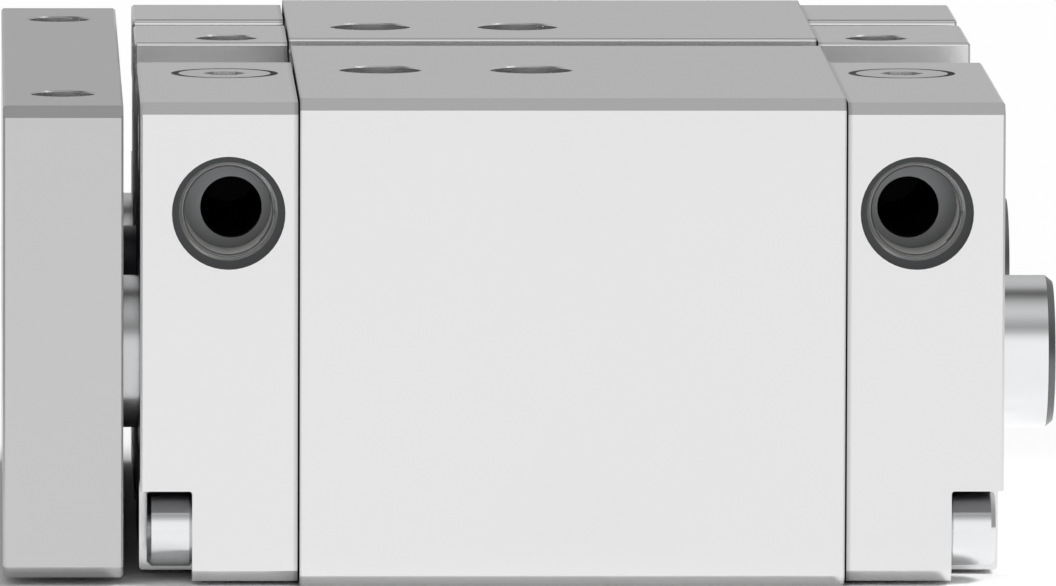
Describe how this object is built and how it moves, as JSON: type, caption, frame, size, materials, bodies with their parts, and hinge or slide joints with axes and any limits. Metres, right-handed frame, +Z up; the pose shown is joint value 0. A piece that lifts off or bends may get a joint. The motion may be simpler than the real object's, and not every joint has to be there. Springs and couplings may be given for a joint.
{
  "type": "guided pneumatic cylinder",
  "caption": "Compact air cylinder whose piston rod and twin guide rods push a yoke plate straight out of a flat rectangular housing.",
  "frame": {"origin": "middle of the barrel's underside, which is the housing's mounting face", "axes": "+Z up from the mounting face; the yoke moves out along -X; -Y is the side with the two air ports"},
  "size_m": [0.1384, 0.148, 0.064],
  "materials": {
    "anodised_barrel": "fine matt natural anodised extrusion",
    "anodised_cap": "fine matt natural anodised",
    "anodised_yoke": "matt natural anodised, a shade darker than the caps",
    "plated_screw": "bright zinc plated",
    "dark_port_bush": "dark oxidised, satin",
    "plug_steel": "nickel plated, satin",
    "ground_rod_steel": "ground and polished",
    "black_rod_steel": "black nitrided, dull",
    "spring_steel": "blackened",
    "piston_aluminium": "turned",
    "bonded_magnet": "plastic-bonded ferrite",
    "bearing_plastic": "low-friction bearing plastic",
    "bronze_bush": "sintered bronze",
    "black_seal": "matt polyurethane"
  },
  "bodies": {
    "housing": {"barrel": "anodised_barrel", "bearing_cap": "anodised_cap", "end_cap": "anodised_cap", "bearing_cap_screws": "plated_screw", "end_cap_screws": "plated_screw", "bearing_cap_port_bush": "dark_port_bush", "end_cap_port_bush": "dark_port_bush", "bearing_cap_port_plug": "plug_steel", "end_cap_port_plug": "plug_steel", "bearing_cap_oring": "black_seal", "end_cap_oring": "black_seal", "bearing_cap_cushion_ring": "black_seal", "end_cap_cushion_ring": "black_seal", "bearing_cap_guide_bush_port_side": "bronze_bush", "bearing_cap_guide_bush_back_side": "bronze_bush", "end_cap_guide_bush_port_side": "bronze_bush", "end_cap_guide_bush_back_side": "bronze_bush", "bearing_cap_guide_wiper_port_side": "black_seal", "bearing_cap_guide_wiper_back_side": "black_seal", "end_cap_guide_wiper_port_side": "black_seal", "end_cap_guide_wiper_back_side": "black_seal", "piston_rod_bush": "bronze_bush", "piston_rod_seal": "black_seal", "piston_rod_seal_circlip": "spring_steel"},
    "carriage": {"yoke_plate": "anodised_yoke", "guide_rod_port_side": "ground_rod_steel", "guide_rod_back_side": "ground_rod_steel", "guide_rod_screws": "plated_screw", "piston_rod": "black_rod_steel", "piston_rod_screw": "plated_screw", "piston_front_half": "piston_aluminium", "piston_rear_half": "piston_aluminium", "piston_spacer": "piston_aluminium", "piston_magnet_ring": "bonded_magnet", "piston_wear_ring": "bearing_plastic", "piston_front_seal": "black_seal", "piston_rear_seal": "black_seal", "piston_nut": "plated_screw"}
  },
  "joints": [
    {"name": "yoke_slide", "type": "slide", "parent": "housing", "child": "carriage", "axis": [-1, 0, 0], "range_m": [0, 0.05]}
  ]
}
